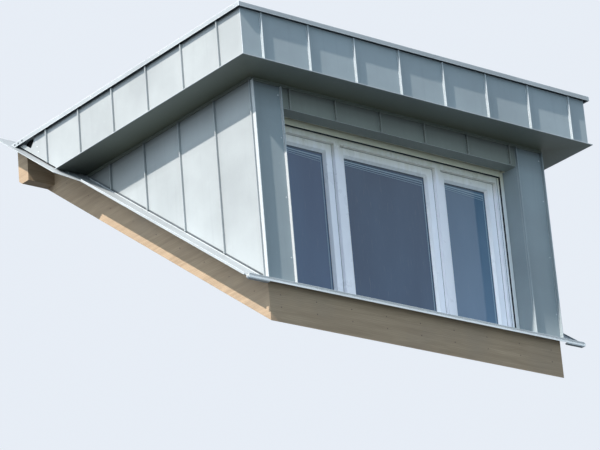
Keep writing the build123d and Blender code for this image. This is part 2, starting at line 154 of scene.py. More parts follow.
def new_material(name):
    mat = bpy.data.materials.new(name)
    mat.use_nodes = True
    mat.node_tree.nodes.clear()
    return mat, mat.node_tree


def add(tree, kind, **values):
    """A new node, with its properties set."""
    node = tree.nodes.new(kind)
    for key, value in values.items():
        setattr(node, key, value)
    return node


def link(tree, output, socket):
    tree.links.new(output, socket)


def feed(tree, socket, value):
    """Sets a number or a colour on a socket, or links another node's output to it."""
    if isinstance(value, (int, float)):
        socket.default_value = value
    elif isinstance(value, tuple):
        socket.default_value = (*value, 1.0)
    else:
        link(tree, value, socket)


def noise(tree, vector, scale, detail=3.0, rough=0.5, distortion=0.0):
    node = add(tree, "ShaderNodeTexNoise")
    node.inputs["Scale"].default_value = scale
    node.inputs["Detail"].default_value = detail
    node.inputs["Roughness"].default_value = rough
    node.inputs["Distortion"].default_value = distortion
    link(tree, vector, node.inputs["Vector"])
    return node.outputs["Fac"]


def stretched(tree, vector, scale):
    node = add(tree, "ShaderNodeMapping")
    node.inputs["Scale"].default_value = scale
    link(tree, vector, node.inputs["Vector"])
    return node.outputs["Vector"]


def ramp(tree, value, low, high, out_low=0.0, out_high=1.0):
    """Maps low..high to out_low..out_high, and holds the ends."""
    node = add(tree, "ShaderNodeMapRange")
    node.inputs["From Min"].default_value = low
    node.inputs["From Max"].default_value = high
    node.inputs["To Min"].default_value = out_low
    node.inputs["To Max"].default_value = out_high
    link(tree, value, node.inputs["Value"])
    return node.outputs["Result"]


def maths(tree, operation, a, b=0.0):
    node = add(tree, "ShaderNodeMath", operation=operation)
    feed(tree, node.inputs[0], a)
    feed(tree, node.inputs[1], b)
    return node.outputs["Value"]


def mix_colour(tree, factor, a, b, blend="MIX"):
    node = add(tree, "ShaderNodeMix", data_type="RGBA", blend_type=blend)
    feed(tree, node.inputs["Factor"], factor)
    feed(tree, node.inputs[COLOUR_A], a)
    feed(tree, node.inputs[COLOUR_B], b)
    return node.outputs[COLOUR_OUT]


def place(tree):
    return add(tree, "ShaderNodeNewGeometry").outputs["Position"]


def split(tree, vector):
    node = add(tree, "ShaderNodeSeparateXYZ")
    link(tree, vector, node.inputs["Vector"])
    return node


def times(colour, factor):
    return tuple(c * factor for c in colour)


def hollows(tree, distance, low, high, amount):
    """The share of painted shade that darkens corners and grooves, where little light reaches."""
    node = add(tree, "ShaderNodeAmbientOcclusion", samples=4)
    node.inputs["Distance"].default_value = distance
    return ramp(tree, node.outputs["AO"], low, high, amount, 0.0)


def surface(tree, colour, rough, metallic, height, bump, distance, edge=0.0, **more):
    """The Principled surface of a material, with a bump; edge is the radius of softened edges."""
    shader = add(tree, "ShaderNodeBsdfPrincipled")
    for name, value in (("Base Color", colour), ("Roughness", rough), ("Metallic", metallic)):
        feed(tree, shader.inputs[name], value)
    for name, value in more.items():
        shader.inputs[name.replace("_", " ")].default_value = value
    relief = add(tree, "ShaderNodeBump")
    relief.inputs["Strength"].default_value = bump
    relief.inputs["Distance"].default_value = distance
    link(tree, height, relief.inputs["Height"])
    if edge:
        soft = add(tree, "ShaderNodeBevel", samples=4)
        soft.inputs["Radius"].default_value = edge
        link(tree, soft.outputs["Normal"], relief.inputs["Normal"])
    link(tree, relief.outputs["Normal"], shader.inputs["Normal"])
    out = add(tree, "ShaderNodeOutputMaterial")
    link(tree, shader.outputs["BSDF"], out.inputs["Surface"])


# Materials


def pan_shade(tree, parts):
    """A grey that differs a little from one sheet metal pan to the next."""
    across = maths(tree, "ADD", parts.outputs["X"], FRONT_PAN / 2)
    along = maths(tree, "SUBTRACT", parts.outputs["Y"], FIRST_SIDE_SEAM)
    both = add(tree, "ShaderNodeCombineXYZ")
    for name, distance, width in (("X", across, FRONT_PAN), ("Y", along, SIDE_PAN)):
        number = maths(tree, "FLOOR", maths(tree, "DIVIDE", distance, width))
        link(tree, number, both.inputs[name])
    pan = add(tree, "ShaderNodeTexWhiteNoise", noise_dimensions="2D")
    link(tree, both.outputs["Vector"], pan.inputs["Vector"])
    grey = ramp(tree, pan.outputs["Value"], 0.0, 1.0, 0.95, 1.04)
    shade = add(tree, "ShaderNodeCombineColor")
    for name in ("Red", "Green", "Blue"):
        link(tree, grey, shade.inputs[name])
    return shade.outputs["Color"]


def zinc(
    name,
    tint,
    rough=0.62,
    dirt_and_shade=1.0,
    top_soot_and_shade=None,
    wear_and_highlight=0.85,
    metal=0.06,
    flank=0,
    eaves=0.0,
    under=False,
):
    """Weathered sheet metal: tone changes from pan to pan, rain streaks, waves, lighter edges, and
    painted shade in hollows.

    dirt_and_shade scales the rain streaks, the spots and the painted shade in hollows;
    wear_and_highlight scales the lighter edges, partly abraded and partly a painted highlight.
    top_soot_and_shade is (low, high, amount, colour) of a blackening that thickens upwards, partly
    painted shade. flank (-1 or 1) lightens the folds that face that side, a painted highlight. eaves
    is the amount of painted shade, with some staining, at the heads of walls and in their rear
    corners. under paints shade on the soffit, darker and warmer towards the wall and near black
    towards the rear.
    """
    mat, tree = new_material(name)
    pos = place(tree)
    parts = split(tree, pos)
    cloud = noise(tree, pos, 2.2, 4.0, 0.55)
    streak = noise(tree, stretched(tree, pos, (26.0, 26.0, 1.3)), 1.0, 5.0, 0.6)
    fine = noise(tree, pos, 140.0, 3.0, 0.6)
    spots = noise(tree, pos, 38.0, 5.0, 0.65)

    light = tuple(min(1.0, c) for c in times(tint, 1.07))
    tone = mix_colour(tree, ramp(tree, cloud, 0.35, 0.65), times(tint, 0.91), light)
    tone = mix_colour(tree, 1.0, tone, pan_shade(tree, parts), "MULTIPLY")
    rain = ramp(tree, streak, 0.56, 0.80, 0.0, 0.20 * dirt_and_shade)
    tone = mix_colour(tree, rain, tone, times(tint, 0.60))
    salt = ramp(tree, spots, 0.62, 0.80, 0.0, 0.14 * dirt_and_shade)
    tone = mix_colour(tree, salt, tone, (0.60, 0.61, 0.60))
    # Painted shade: corners and grooves are darkened.
    hollow_shade_share = hollows(tree, 0.03, 0.10, 0.60, 0.16 * dirt_and_shade)
    tone = mix_colour(tree, hollow_shade_share, tone, (0.10, 0.115, 0.12))
    # A blackening that thickens upwards at the lintel's head: partly sooting, partly painted shade.
    if top_soot_and_shade:
        low, high, amount, top_tone = top_soot_and_shade
        uneven = maths(tree, "ADD", parts.outputs["Z"], maths(tree, "MULTIPLY", streak, 0.05))
        soot_and_shade_share = ramp(tree, uneven, low + 0.025, high + 0.025, 0.0, amount)
        tone = mix_colour(tree, soot_and_shade_share, tone, top_tone)

    # Lighter edges and folds: partly abraded metal, partly a painted highlight.
    rounded = add(tree, "ShaderNodeBevel", samples=4)
    rounded.inputs["Radius"].default_value = 0.006
    flat = add(tree, "ShaderNodeNewGeometry").outputs["True Normal"]
    across = add(tree, "ShaderNodeVectorMath", operation="DOT_PRODUCT")
    link(tree, rounded.outputs["Normal"], across.inputs[0])
    link(tree, flat, across.inputs[1])
    edges = ramp(tree, across.outputs["Value"], 0.80, 0.985, wear_and_highlight, 0.0)
    worn_and_highlit = maths(tree, "MULTIPLY", edges, ramp(tree, spots, 0.3, 0.6, 0.55, 1.0))
    tone = mix_colour(tree, worn_and_highlit, tone, (0.88, 0.92, 0.94))

    # Painted shade under the eaves, with some staining: darkest at the heads of walls, and in the
    # rear corners as if shaded by the roof beside them.
    if eaves:
        for start, amount in ((1.460, 0.60), (1.320, 0.46)):
            share = ramp(tree, parts.outputs["Z"], start, EAVES, 0.0, amount * eaves)
            tone = mix_colour(tree, share, tone, EAVES_SHADE)
        rear = ramp(tree, parts.outputs["Y"], 0.45, 1.55, 0.0, 0.45 * eaves)
        corner = maths(tree, "MULTIPLY", rear, ramp(tree, parts.outputs["Z"], 1.22, 1.30))
        tone = mix_colour(tree, corner, tone, EAVES_SHADE)
    # Painted shade on the soffit: darker and warmer towards the wall, near black towards the rear.
    if under:
        beside = maths(tree, "SUBTRACT", maths(tree, "ABSOLUTE", parts.outputs["X"]), WALL)
        before = maths(tree, "SUBTRACT", FRONT, parts.outputs["Y"])
        from_wall = maths(tree, "MAXIMUM", beside, before)
        inwards = ramp(tree, from_wall, 0.010, 0.240, 1.0, 0.0)
        tone = mix_colour(tree, inwards, tone, (0.42, 0.41, 0.30), "MULTIPLY")
        rear = ramp(tree, parts.outputs["Y"], 1.10, 1.60, 0.0, 0.75)
        tone = mix_colour(tree, rear, tone, (0.008, 0.010, 0.009))
    # Painted highlight: the folds that face the flank's side are lightened as if lit.
    if flank:
        facing = split(tree, flat).outputs["X"]
        painted_flank_highlight = ramp(tree, facing, flank * 0.8, flank * 0.95, 0.0, 0.9)
        tone = mix_colour(tree, painted_flank_highlight, tone, (0.44, 0.462, 0.475))

    roughness = ramp(tree, cloud, 0.3, 0.7, rough - 0.06, rough + 0.08)
    waves = noise(tree, stretched(tree, pos, (3.2, 3.2, 2.1)), 1.0, 2.0, 0.4)
    height = maths(tree, "ADD", waves, maths(tree, "MULTIPLY", fine, 0.035))
    surface(tree, tone, roughness, metal, height, 0.32, 0.006, edge=0.0012)
    return mat


def plastic(name, tint, rough=0.3, dirt_and_shade=1.0):
    """Window profile with a faint film of dust, painted shade in its hollows, and a warm painted
    shade under the head.
    """
    mat, tree = new_material(name)
    pos = place(tree)
    parts = split(tree, pos)
    cloud = noise(tree, pos, 6.0, 4.0, 0.6)
    streak = noise(tree, stretched(tree, pos, (30.0, 30.0, 2.0)), 1.0, 4.0, 0.6)
    tone = mix_colour(tree, ramp(tree, cloud, 0.3, 0.7), times(tint, 0.975), tint)
    rain = ramp(tree, streak, 0.60, 0.85, 0.0, 0.05 * dirt_and_shade)
    tone = mix_colour(tree, rain, tone, (0.50, 0.50, 0.46))
    # Painted shade under the head: the profiles grow darker and warmer towards the top.
    uneven = maths(tree, "ADD", parts.outputs["Z"], maths(tree, "MULTIPLY", streak, 0.10))
    head = ramp(tree, uneven, 1.225, 1.375, 0.0, 0.80 * dirt_and_shade)
    tone = mix_colour(tree, head, tone, (0.53, 0.49, 0.345))
    # Painted shade: corners and grooves are darkened.
    hollow_shade_share = hollows(tree, 0.02, 0.1, 0.45, 0.06 * dirt_and_shade)
    tone = mix_colour(tree, hollow_shade_share, tone, (0.20, 0.20, 0.18))
    roughness = ramp(tree, cloud, 0.3, 0.7, rough - 0.05, rough + 0.08)
    height = noise(tree, pos, 90.0, 2.0)
    surface(tree, tone, roughness, 0.0, height, 0.05, 0.001, 0.0015, Specular_IOR_Level=0.8)
    return mat


def glazing(name, dark, light, fade=0.20):
    """Double glazing whose colour is a painted reflection of the sky, darker towards its head by
    fade, and dusty.
    """
    mat, tree = new_material(name)
    pos = place(tree)
    parts = split(tree, pos)
    cloud = noise(tree, stretched(tree, pos, (3.4, 1.0, 1.1)), 1.0, 3.0, 0.5)
    film = noise(tree, pos, 60.0, 4.0, 0.7)
    drops = noise(tree, stretched(tree, pos, (60.0, 1.0, 9.0)), 1.0, 3.0, 0.6)
    tone = mix_colour(tree, ramp(tree, cloud, 0.30, 0.70), dark, light)
    # Part of the painted reflection: the glass darkens towards its head by fade.
    head = ramp(tree, parts.outputs["Z"], 0.28, 1.24, 0.0, fade)
    tone = mix_colour(tree, head, tone, times(dark, 0.55))
    runs = ramp(tree, drops, 0.58, 0.80, 0.0, 0.10)
    tone = mix_colour(tree, runs, tone, (0.30, 0.32, 0.33))
    roughness = ramp(tree, film, 0.4, 0.7, 0.03, 0.09)
    waves = noise(tree, pos, 3.0, 1.0)
    surface(tree, tone, roughness, 0.0, waves, 0.10, 0.002, IOR=1.52, Specular_IOR_Level=0.6)
    return mat


def timber(name):
    """Sawn softwood with grain along each beam."""
    mat, tree = new_material(name)
    pos = place(tree)
    grain = noise(tree, stretched(tree, pos, (2.0, 2.0, 34.0)), 1.0, 6.0, 0.65, 0.6)
    rings = add(tree, "ShaderNodeTexWave", wave_type="BANDS", bands_direction="Z")
    rings.inputs["Scale"].default_value = 9.0
    rings.inputs["Distortion"].default_value = 7.0
    rings.inputs["Detail"].default_value = 3.0
    link(tree, stretched(tree, pos, (0.7, 0.7, 3.0)), rings.inputs["Vector"])
    stain = noise(tree, pos, 3.0, 4.0, 0.6)
    fibre = ramp(tree, grain, 0.3, 0.7)
    tone = mix_colour(tree, fibre, (0.27, 0.195, 0.125), (0.43, 0.325, 0.220))
    late_wood = maths(tree, "MULTIPLY", rings.outputs["Fac"], 0.28)
    tone = mix_colour(tree, late_wood, tone, (0.23, 0.155, 0.090))
    grey = ramp(tree, stain, 0.5, 0.75, 0.0, 0.35)
    tone = mix_colour(tree, grey, tone, (0.23, 0.19, 0.15))
    roughness = ramp(tree, grain, 0.3, 0.7, 0.62, 0.82)
    surface(tree, tone, roughness, 0.0, grain, 0.35, 0.002, edge=0.002)
    return mat


def board(name, tint):
    """Painted plasterboard."""
    mat, tree = new_material(name)
    pos = place(tree)
    cloud = noise(tree, pos, 1.6, 4.0, 0.6)
    fine = noise(tree, pos, 220.0, 2.0, 0.6)
    tone = mix_colour(tree, ramp(tree, cloud, 0.3, 0.7), times(tint, 0.92), tint)
    surface(tree, tone, 0.85, 0.0, fine, 0.15, 0.001)
    return mat


def rubber(name, tint):
    """Roof membrane or gasket, dusty where water has stood."""
    mat, tree = new_material(name)
    pos = place(tree)
    cloud = noise(tree, pos, 1.4, 6.0, 0.62)
    fine = noise(tree, pos, 90.0, 4.0, 0.7)
    dusty = tuple(min(1.0, c * 1.7 + 0.02) for c in tint)
    tone = mix_colour(tree, ramp(tree, cloud, 0.42, 0.68), tint, dusty)
    roughness = ramp(tree, cloud, 0.3, 0.7, 0.62, 0.85)
    surface(tree, tone, roughness, 0.0, fine, 0.25, 0.002)
    return mat


def dark_matter(name, tint, rough):
    """A dark material for gaps, brushes and nail heads, broken up by dust."""
    mat, tree = new_material(name)
    pos = place(tree)
    dust = noise(tree, pos, 70.0, 4.0, 0.7)
    tone = mix_colour(tree, ramp(tree, dust, 0.45, 0.75, 0.0, 0.5), tint, times(tint, 1.9))
    roughness = ramp(tree, dust, 0.3, 0.7, rough - 0.1, min(1.0, rough + 0.05))
    surface(tree, tone, roughness, 0.0, dust, 0.3, 0.001, Specular_IOR_Level=0.15)
    return mat


# One material for each slot of the record, then those that single nodes have of their own

MATERIALS = {
    "zinc": zinc("zinc", ZINC),
    "frame_white": plastic("frame_white", (0.925, 0.925, 0.985)),
    "sash_white": plastic("sash_white", (0.935, 0.935, 0.990)),
    "rail_white": plastic("rail_white", (0.72, 0.74, 0.75), 0.4),
    "board_white": plastic("board_white", (0.86, 0.86, 0.84), 0.45, 0.5),
    "glass": glazing("glass", (0.042, 0.082, 0.160), (0.060, 0.114, 0.200), 0.02),
    "shutter_grey": plastic("shutter_grey", (0.61, 0.59, 0.46), 0.45, 0.3),
    "timber": timber("timber"),
    "membrane": rubber("membrane", (0.055, 0.057, 0.06)),
    "gypsum_board": board("gypsum_board", (0.80, 0.79, 0.75)),
}
# The zinc comes in lit and shaded copies, which paint light and shade: darker on the posts, darker
# still on the lintel, bluer on the front fascia, and near black on the head trim, painted as the
# shadow gap under the soffit.
OWN = {
    # The soffit's own colour is far darker than the zinc: painted shade.
    "soffit": zinc("zinc_soffit", (0.155, 0.180, 0.160), 0.6, wear_and_highlight=0.25, under=True),
    "lintel_cladding": zinc(
        "zinc_lintel",
        (0.196, 0.217, 0.194),
        0.55,
        top_soot_and_shade=(1.40, 1.51, 0.75, SOOT_AND_SHADE),
        wear_and_highlight=0.45,
        eaves=0.9,
    ),
    "left_post_cladding": zinc("zinc_post", (0.252, 0.302, 0.326), wear_and_highlight=0.95, flank=-1, eaves=1.0),
    # Each pane has its own tones of painted reflection.
    "middle_glass": glazing("glass_middle", (0.035, 0.072, 0.132), (0.050, 0.099, 0.170)),
    "right_glass": glazing("glass_right", (0.105, 0.184, 0.280), (0.146, 0.226, 0.326), 0.32),
    "head_trim": zinc("zinc_trim", (0.055, 0.066, 0.052), 0.6, 0.5, wear_and_highlight=0.04),
    "front_fascia": zinc("zinc_front", (0.288, 0.340, 0.368)),
    "back_flashing": zinc("zinc_back", (0.285, 0.315, 0.335), 0.72, wear_and_highlight=0.3, metal=0.04),
    "right_post_cladding": zinc("zinc_right_post", SHADED, wear_and_highlight=0.35, flank=1, eaves=1.0),
}
# Copies of the zinc for the sides and cheeks, a little warmer as if sunlit: painted light.
SIDE = zinc("zinc_side", (0.316, 0.342, 0.352), wear_and_highlight=0.12)
CHEEK = zinc("zinc_cheek", (0.312, 0.340, 0.351), wear_and_highlight=0.12, eaves=1.0)
for side in ("left", "right"):
    OWN[side + "_cheek_cladding"] = CHEEK
    OWN[side + "_fascia"] = SIDE

# Materials of the small pieces that this script adds
GASKET = rubber("gasket", (0.045, 0.058, 0.075))
SEAL = rubber("sash_seal", (0.20, 0.21, 0.22))
BRUSH = dark_matter("brushes_joints_and_slat_shadow", (0.009, 0.014, 0.022), 0.9)
NAIL = dark_matter("nail", (0.17, 0.12, 0.095), 0.7)
# Near-black for the opening behind the fascia's rear end and the holes in the coping: painted shade.
HOLE = dark_matter("hole", (0.018, 0.020, 0.022), 0.95)
# A lighter copy of the zinc for the rolled edges of the soffit's lip and the cheek's foot: painted
# highlight.
BRIGHT = zinc("zinc_hem", (0.42, 0.455, 0.475), 0.45, 0.3, wear_and_highlight=0.1)
# A lighter zinc for the sill's drip: painted highlight.
SILL_HIGHLIGHT = zinc("zinc_sill_hem", (0.66, 0.70, 0.72), 0.35, 0.5)
STEEL = zinc("fixings", (0.46, 0.47, 0.48), 0.35, 0.6)
# Pale stripes in the glass: partly the bar between the panes, partly painted reflections.
SPACER_AND_REFLECTION = plastic("spacer_and_reflection", (0.25, 0.345, 0.41), 0.35, 0.2)
SHADOW = rubber("painted_shadow_strip", (0.045, 0.055, 0.062))
FILLER = board("filler", (0.74, 0.73, 0.70))
MASTIC = rubber("mastic", (0.42, 0.43, 0.43))

for entry in frame["record"]["subparts"]:
    node = frame["nodes"][entry["node"]]
    for material_slot in node.material_slots:
        material_slot.material = OWN.get(entry["node"], MATERIALS[entry["material_slot"]])


# Small pieces in mesh code


class Mesh:
    """Gathers simple shapes into one piece."""

    def __init__(self):
        self.verts = []
        self.faces = []

    def box(self, low, high):
        first = len(self.verts)
        x0, y0, z0 = low
        x1, y1, z1 = high
        for z in (z0, z1):
            self.verts += [(x0, y0, z), (x1, y0, z), (x1, y1, z), (x0, y1, z)]
        self.faces += [tuple(first + i for i in face) for face in BLOCK]

    def slab(self, corner, length, width, thickness):
        """A flat block from one corner along three vectors, for pieces that lie on a slope."""
        first = len(self.verts)
        corner, length, width = Vector(corner), Vector(length), Vector(width)
        for up in (Vector(), Vector(thickness)):
            for point in (corner, corner + length, corner + length + width, corner + width):
                self.verts.append(tuple(point + up))
        self.faces += [tuple(first + i for i in face) for face in BLOCK]

    def rod(self, start, end, radius, sides=12, dome=False):
        """A round bar between two points; dome rounds its far end, like a screw head."""
        start, end = Vector(start), Vector(end)
        axis = (end - start).normalized()
        across = axis.orthogonal().normalized()
        other = axis.cross(across)
        # Each ring is a share of the way along and a share of the radius
        rings = [(0.0, 1.0), (1.0, 1.0)]
        if dome:
            rings = [(0.0, 1.0), (0.45, 0.93), (0.8, 0.66), (1.0, 0.2)]
        first = len(self.verts)
        for along, size in rings:
            centre = start.lerp(end, along)
            for i in range(sides):
                angle = 2 * math.pi * i / sides
                offset = across * math.cos(angle) + other * math.sin(angle)
                self.verts.append(tuple(centre + offset * (radius * size)))
        for number in range(len(rings) - 1):
            near = first + number * sides
            far = near + sides
            for i in range(sides):
                j = (i + 1) % sides
                self.faces.append((near + i, near + j, far + j, far + i))
        last = first + (len(rings) - 1) * sides
        self.faces.append(tuple(first + i for i in reversed(range(sides))))
        self.faces.append(tuple(last + i for i in range(sides)))

    def screw(self, base, tip, radius, sides=12):
        """The rounded head of a rivet, screw or nail."""
        self.rod(base, tip, radius, sides, dome=True)

    def hem(self, half, front, back, z, radius):
        """A thin round edge: a rod across the front, from -half to half, and one along each side."""
        self.rod((-half, front, z), (half, front, z), radius, 8)
        for side in (-1, 1):
            self.rod((side * half, front, z), (side * half, back, z), radius, 8)

    def side_box(self, side, inner, outer, low, high):
        """A box left (-1) or right (1) of the middle; low and high are (y, z) pairs."""
        x0, x1 = sorted((side * inner, side * outer))
        self.box((x0, *low), (x1, *high))

    def ring(self, x0, x1, z0, z1, y0, y1, width):
        """An upright rectangular ring that faces the front; width is measured inwards."""
        self.box((x0, y0, z0), (x1, y1, z0 + width))
        self.box((x0, y0, z1 - width), (x1, y1, z1))
        self.box((x0, y0, z0 + width), (x0 + width, y1, z1 - width))
        self.box((x1 - width, y0, z0 + width), (x1, y1, z1 - width))

    def piece(self, name, material, slot):
        """Makes the Blender object; it rides on the one body."""
        mesh = bpy.data.meshes.new(name)
        mesh.from_pydata(self.verts, [], self.faces)
        mesh.validate()
        mesh.update()
        mesh.materials.append(material)
        obj = bpy.data.objects.new(name, mesh)
        bpy.context.scene.collection.objects.link(obj)
        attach(obj, "root")


def on_slope(y, rise):
    """The height over the roof slope at y, rise metres above the slope through the origin."""
    return rise + RISE * y


def glazing_gaskets():
    """Seals round the glass and the sashes, a dark band painted as the shadow under each pane's head,
    and pale stripes in the glass, partly the bar between the panes and partly painted reflections.
    """
    gaskets_and_head_shadow, seals, spacer_and_reflection_stripes = Mesh(), Mesh(), Mesh()
    low, high = LIGHT_LOW + STILE, LIGHT_HIGH - STILE
    for x0, x1 in LIGHTS:
        left, right = x0 + STILE, x1 - STILE
        gaskets_and_head_shadow.ring(left, right, low, high, GLASS_FACE - SEAL_DEPTH, GLASS_FACE, SEAL_WIDTH)
        # A dark band under each pane's head: painted shadow.
        corner = (left + 0.003, GLASS_FACE - 0.001, high - 0.011)
        gaskets_and_head_shadow.box(corner, (right - 0.003, GLASS_FACE, high - 0.003))
        seals.ring(x0, x1, LIGHT_LOW, LIGHT_HIGH, SASH_FACE - SEAL_DEPTH, SASH_FACE, SEAL_WIDTH)
        # Pale stripes under the head and by the right edge of each pane: partly the bar between the
        # panes, partly painted reflections.
        stripes = ((0.015, 0.010, 0.0075), (0.029, 0.014, 0.0055), (0.042, 0.018, 0.0035))
        for drop, fall, tall in stripes:
            corner = (left + 0.006, GLASS_FACE - STRIPE, high - drop)
            run = (right - left - 0.018, 0, -fall)
            spacer_and_reflection_stripes.slab(corner, run, (0, 0, -tall), (0, STRIPE, 0))
        corner = (right - 0.017, GLASS_FACE - STRIPE, low + 0.006)
        spacer_and_reflection_stripes.box(corner, (right - 0.012, GLASS_FACE, high - 0.030))
    gaskets_and_head_shadow.piece("window_gaskets_and_head_shadow", GASKET, "membrane")
    seals.piece("sash_seals", SEAL, "membrane")
    spacer_and_reflection_stripes.piece("glass_spacers_and_reflections", SPACER_AND_REFLECTION, "glass")


def hems():
    """Rolled edges of the sheet metal, those of the soffit's lip and the cheek's foot lighter than
    the sheet as a painted highlight; a dark strip painted as the shadow gap at the cheek's foot; and
    a lighter strip on the sill's drip, also a painted highlight.
    """
    lip, trim, foot, foot_shadow_gap, sill = Mesh(), Mesh(), Mesh(), Mesh(), Mesh()
    lip.hem(LIP, LIP_FRONT, LIP_BACK, SOFFIT_UNDER + 0.002, 0.003)
    z = TRIM_FOOT + 0.002
    trim.hem(TRIM_SIDE, TRIM_FRONT, TRIM_BACK, z, 0.0025)
    gap_length, gap_width, gap_thickness = 1.74, 0.015, 0.0018
    for side in (-1, 1):
        x, upper = side * TRIM_SIDE, z + 0.013
        trim.rod((x, TRIM_FRONT, upper), (x, TRIM_BACK, upper), 0.0015, 6)

        # A dark strip along the cheek's foot, painted as the shadow gap under the cladding.
        run, tall = (0, gap_length, gap_length * RISE), (0, 0, gap_width)
        edges = (run, tall) if side > 0 else (tall, run)
        corner = (side * WALL, -0.110, on_slope(-0.110, 0.271))
        foot_shadow_gap.slab(corner, *edges, (side * gap_thickness, 0, 0))

        x = side * (WALL + 0.006)
        low, high = (x, -0.116, on_slope(-0.116, CHEEK_RISE)), (x, 1.95, on_slope(1.95, CHEEK_RISE))
        foot.rod(low, high, 0.0035, 8)
    # A lighter strip and edge on the sill's drip: painted highlight.
    sill.box((-SILL_END, SILL_FACE - 0.0008, 0.1445), (SILL_END, SILL_FACE, SILL_EDGE))
    y = SILL_FACE + 0.0005
    sill.rod((-SILL_END, y, SILL_EDGE), (SILL_END, y, SILL_EDGE), 0.0018, 8)
    lip.piece("soffit_lip_hem", BRIGHT, "zinc")
    trim.piece("head_trim_hem", OWN["head_trim"], "zinc")
    foot.piece("cheek_foot_hem", BRIGHT, "zinc")
    foot_shadow_gap.piece("cheek_foot_shadow_gap", SHADOW, "membrane")
    sill.piece("sill_hem", SILL_HIGHLIGHT, "zinc")


def shutter_trim():
    """Brushes in the guide rails, dark joints beside them, screw caps, and the end slat's rubber,
    near-black also as painted shadow under the slat.
    """
    brushes_joints_and_slat_shadow, caps = Mesh(), Mesh()
    for side in (-1, 1):
        for outer, y0, y1 in ((0.9700, 0.0186, 0.0210), (0.9788, 0.0300, 0.0324)):
            brushes_joints_and_slat_shadow.side_box(side, RAIL_INSIDE + 0.0002, outer, (y0, RAIL_FOOT), (y1, RAIL_TOP))
        x = side * RAIL_MIDDLE
        for z in (0.33, 0.76, 1.19):
            caps.screw((x, RAIL_FACE, z), (x, RAIL_FACE - 0.0018, z), 0.0045, 14)
    for x in (-FRAME_JOINT, FRAME_JOINT):
        brushes_joints_and_slat_shadow.box((x - 0.0011, FRAME_FACE - 0.0007, 0.2130), (x + 0.0011, FRAME_FACE, RAIL_TOP))
    # The end slat's rubber, near-black so that it also paints the shadow gap under the slat.
    brushes_joints_and_slat_shadow.box((-0.958, 0.0205, 1.3271), (0.958, 0.0305, 1.3316))
    brushes_joints_and_slat_shadow.piece("rail_brushes_joints_and_slat_shadow", BRUSH, "membrane")
    caps.piece("rail_caps", MATERIALS["rail_white"], "rail_white")


def sealant():
    """Mastic beads round the window opening."""
    bead = Mesh()
    foot, head = 0.2125, LINTEL + 0.004
    for z, inset, radius in ((foot, 0.0015, 0.0026), (head, 0.0005, 0.0022)):
        y = FRAME_FACE - inset
        bead.rod((-OPENING, y, z), (OPENING, y, z), radius, 8)
    for side in (-1, 1):
        x, y = side * (OPENING - 0.0015), FRAME_FACE - 0.0008
        bead.rod((x, y, foot + 0.0005), (x, y, LINTEL), 0.0016, 6)
    bead.piece("mastic_beads", MASTIC, "membrane")


def drain_caps():
    """Caps over the drain slots of the frame: two for a side light, three for the middle one."""
    drains = Mesh()
    half = 0.014
    for x0, x1 in LIGHTS:
        narrow = x1 - x0 < 0.6
        for x in (x0 + 0.09, x1 - 0.09) if narrow else (x0 + 0.12, 0.0, x1 - 0.12):
            drains.box((x - half, FRAME_FACE - 0.0022, 0.2190), (x + half, FRAME_FACE, 0.2245))
    drains.piece("drain_caps", MATERIALS["frame_white"], "frame_white")


def sheet_rivets():
    """Rivets and screws of the coping, fascias, side gutters, posts and back flashing."""
    heads = Mesh()
    for side in (-1, 1):
        face = side * COPING
        for y in (-0.33, *COPING_JOINTS):
            heads.screw((face, y, RIVET_ROW), (face + side * 0.0022, y, RIVET_ROW), 0.005)
        face = side * FASCIA
        for y, z in ((1.862, 1.725), (1.872, 1.765), (1.882, 1.805)):
            heads.screw((face, y, z), (face + side * 0.002, y, z), 0.0045)
        x = side * 1.370
        for i in range(6):
            y = 0.05 + i * 0.40
            z = on_slope(y, 0.2675)
            heads.screw((x, y, z), (x, y - 0.0015, z + 0.002), 0.005)
        for z in (0.35, 0.75, 1.15, 1.44):
            for x in (side * (WALL - 0.019), side * (OPENING + 0.021)):
                heads.screw((x, FRONT, z), (x, FRONT - 0.0022, z), 0.0042)
    y = 2.235
    base, tip = on_slope(y, 0.2830), on_slope(y, 0.2847)
    for i in range(8):
        x = -1.30 + i * 2.60 / 7
        heads.screw((x, y, base), (x, y - 0.0013, tip), 0.005)
    heads.piece("sheet_rivets", STEEL, "zinc")


def coping_trim():
    """Cover straps over the joints of the coping, and a fixing strip under its edge, near-black as
    painted shade.
    """
    straps, painted_shadow_strip = Mesh(), Mesh()
    half, top = 0.03, COPING_TOP + 0.001
    front, back = COPING_FRONT + 0.001, COPING_BACK - 0.007
    for x in (-0.75, 0.0, 0.75):
        straps.box((x - half, front, COPING_TOP), (x + half, back, top))
    # A near-black strip on the rim under the coping's edge: painted shade.
    near, far = 0.0001, 0.0015
    corner = (-RIM_SIDE - 0.001, RIM_FRONT - far, CLEAT_FOOT)
    painted_shadow_strip.box(corner, (RIM_SIDE + 0.001, RIM_FRONT - near, CLEAT_TOP))
    for side in (-1, 1):
        inner, outer = COPING_INSIDE + 0.003, COPING - 0.0005
        for y in COPING_JOINTS:
            straps.side_box(side, inner, outer, (y - half, COPING_TOP), (y + half, top))
        inner, outer = RIM_SIDE + near, RIM_SIDE + far
        painted_shadow_strip.side_box(side, inner, outer, (RIM_FRONT, CLEAT_FOOT), (1.905, CLEAT_TOP))
    straps.piece("coping_straps", MATERIALS["zinc"], "zinc")
    painted_shadow_strip.piece("coping_cleat_painted_shadow", SHADOW, "zinc")


